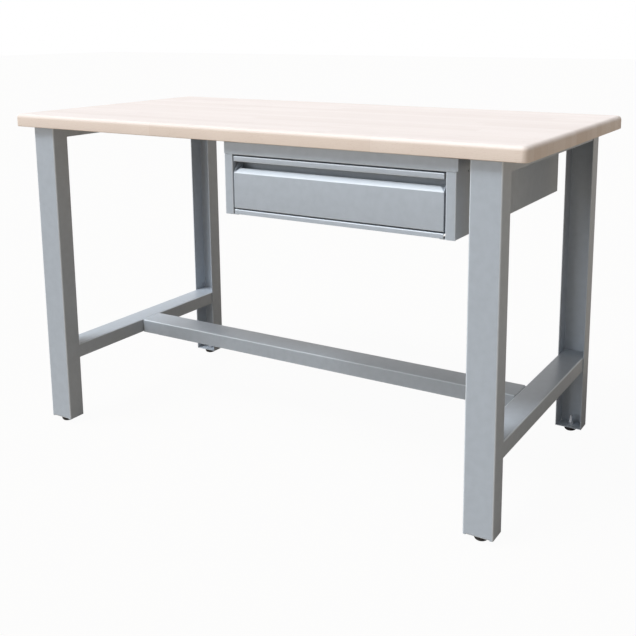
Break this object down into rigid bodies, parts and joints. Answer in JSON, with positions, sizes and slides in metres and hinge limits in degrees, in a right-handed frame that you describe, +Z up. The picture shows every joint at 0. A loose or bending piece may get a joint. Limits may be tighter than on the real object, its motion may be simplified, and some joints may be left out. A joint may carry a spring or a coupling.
{
  "type": "workbench with drawer",
  "caption": "Workbench with a laminated beech top on folded-steel legs, a centre stretcher, levelling feet and a hanging drawer on ball slides.",
  "frame": {"origin": "on the floor under the middle of the worktop", "axes": "+X to the right along the length, +Y to the back, +Z up"},
  "size_m": [1.5, 0.75, 0.905],
  "materials": {
    "beech": "oiled, satin",
    "paint": "fine powder coat, satin",
    "zinc": "zinc plated",
    "black_plastic": "matte"
  },
  "bodies": {
    "bench": {"worktop": "beech", "leg_front_left": "paint", "leg_front_right": "paint", "leg_rear_left": "paint", "leg_rear_right": "paint", "lower_rail_left": "paint", "lower_rail_right": "paint", "upper_rail_left": "paint", "upper_rail_right": "paint", "stretcher": "paint", "stretcher_bolts": "zinc", "stretcher_nuts": "zinc", "worktop_screws": "zinc", "foot_nuts": "zinc", "housing_side_left": "paint", "housing_side_right": "paint", "housing_top_rail": "paint", "housing_back": "paint", "housing_bottom": "paint", "housing_screws": "zinc", "runner_left": "zinc", "runner_right": "zinc", "outer_slide_left": "zinc", "outer_slide_right": "zinc", "outer_slide_screws": "zinc"},
    "foot_front_left": {"pad_front_left": "black_plastic", "stud_front_left": "zinc"},
    "foot_front_right": {"pad_front_right": "black_plastic", "stud_front_right": "zinc"},
    "foot_rear_left": {"pad_rear_left": "black_plastic", "stud_rear_left": "zinc"},
    "foot_rear_right": {"pad_rear_right": "black_plastic", "stud_rear_right": "zinc"},
    "drawer": {"drawer_face": "paint", "drawer_grip": "paint", "drawer_end_caps": "paint", "drawer_tray": "paint", "drawer_back": "paint", "inner_slide_left": "zinc", "inner_slide_right": "zinc", "inner_slide_screws": "zinc"},
    "middle_left": {"middle_slide_left": "zinc"},
    "outer_balls_left": {"outer_cage_left": "zinc"},
    "inner_balls_left": {"inner_cage_left": "zinc"},
    "middle_right": {"middle_slide_right": "zinc"},
    "outer_balls_right": {"outer_cage_right": "zinc"},
    "inner_balls_right": {"inner_cage_right": "zinc"}
  },
  "joints": [
    {"name": "foot_front_left_turn", "type": "hinge", "parent": "bench", "child": "foot_front_left", "pos_m": [-0.656, -0.335, 0], "axis": [0, 0, 1], "continuous": true},
    {"name": "foot_front_right_turn", "type": "hinge", "parent": "bench", "child": "foot_front_right", "pos_m": [0.656, -0.335, 0], "axis": [0, 0, 1], "continuous": true},
    {"name": "foot_rear_left_turn", "type": "hinge", "parent": "bench", "child": "foot_rear_left", "pos_m": [-0.656, 0.335, 0], "axis": [0, 0, 1], "continuous": true},
    {"name": "foot_rear_right_turn", "type": "hinge", "parent": "bench", "child": "foot_rear_right", "pos_m": [0.656, 0.335, 0], "axis": [0, 0, 1], "continuous": true},
    {"name": "drawer_slide", "type": "slide", "parent": "bench", "child": "drawer", "axis": [0, -1, 0], "range_m": [0, 0.6]},
    {"name": "middle_left_travel", "type": "slide", "parent": "bench", "child": "middle_left", "axis": [0, -1, 0], "range_m": [0, 0.3]},
    {"name": "outer_balls_left_travel", "type": "slide", "parent": "bench", "child": "outer_balls_left", "axis": [0, -1, 0], "range_m": [0, 0.15]},
    {"name": "inner_balls_left_travel", "type": "slide", "parent": "bench", "child": "inner_balls_left", "axis": [0, -1, 0], "range_m": [0, 0.45]},
    {"name": "middle_right_travel", "type": "slide", "parent": "bench", "child": "middle_right", "axis": [0, -1, 0], "range_m": [0, 0.3]},
    {"name": "outer_balls_right_travel", "type": "slide", "parent": "bench", "child": "outer_balls_right", "axis": [0, -1, 0], "range_m": [0, 0.15]},
    {"name": "inner_balls_right_travel", "type": "slide", "parent": "bench", "child": "inner_balls_right", "axis": [0, -1, 0], "range_m": [0, 0.45]}
  ],
  "couplings": [
    {"joint": "middle_left_travel", "follows": "drawer_slide", "ratio": 0.5},
    {"joint": "outer_balls_left_travel", "follows": "drawer_slide", "ratio": 0.25},
    {"joint": "inner_balls_left_travel", "follows": "drawer_slide", "ratio": 0.75},
    {"joint": "middle_right_travel", "follows": "drawer_slide", "ratio": 0.5},
    {"joint": "outer_balls_right_travel", "follows": "drawer_slide", "ratio": 0.25},
    {"joint": "inner_balls_right_travel", "follows": "drawer_slide", "ratio": 0.75}
  ]
}
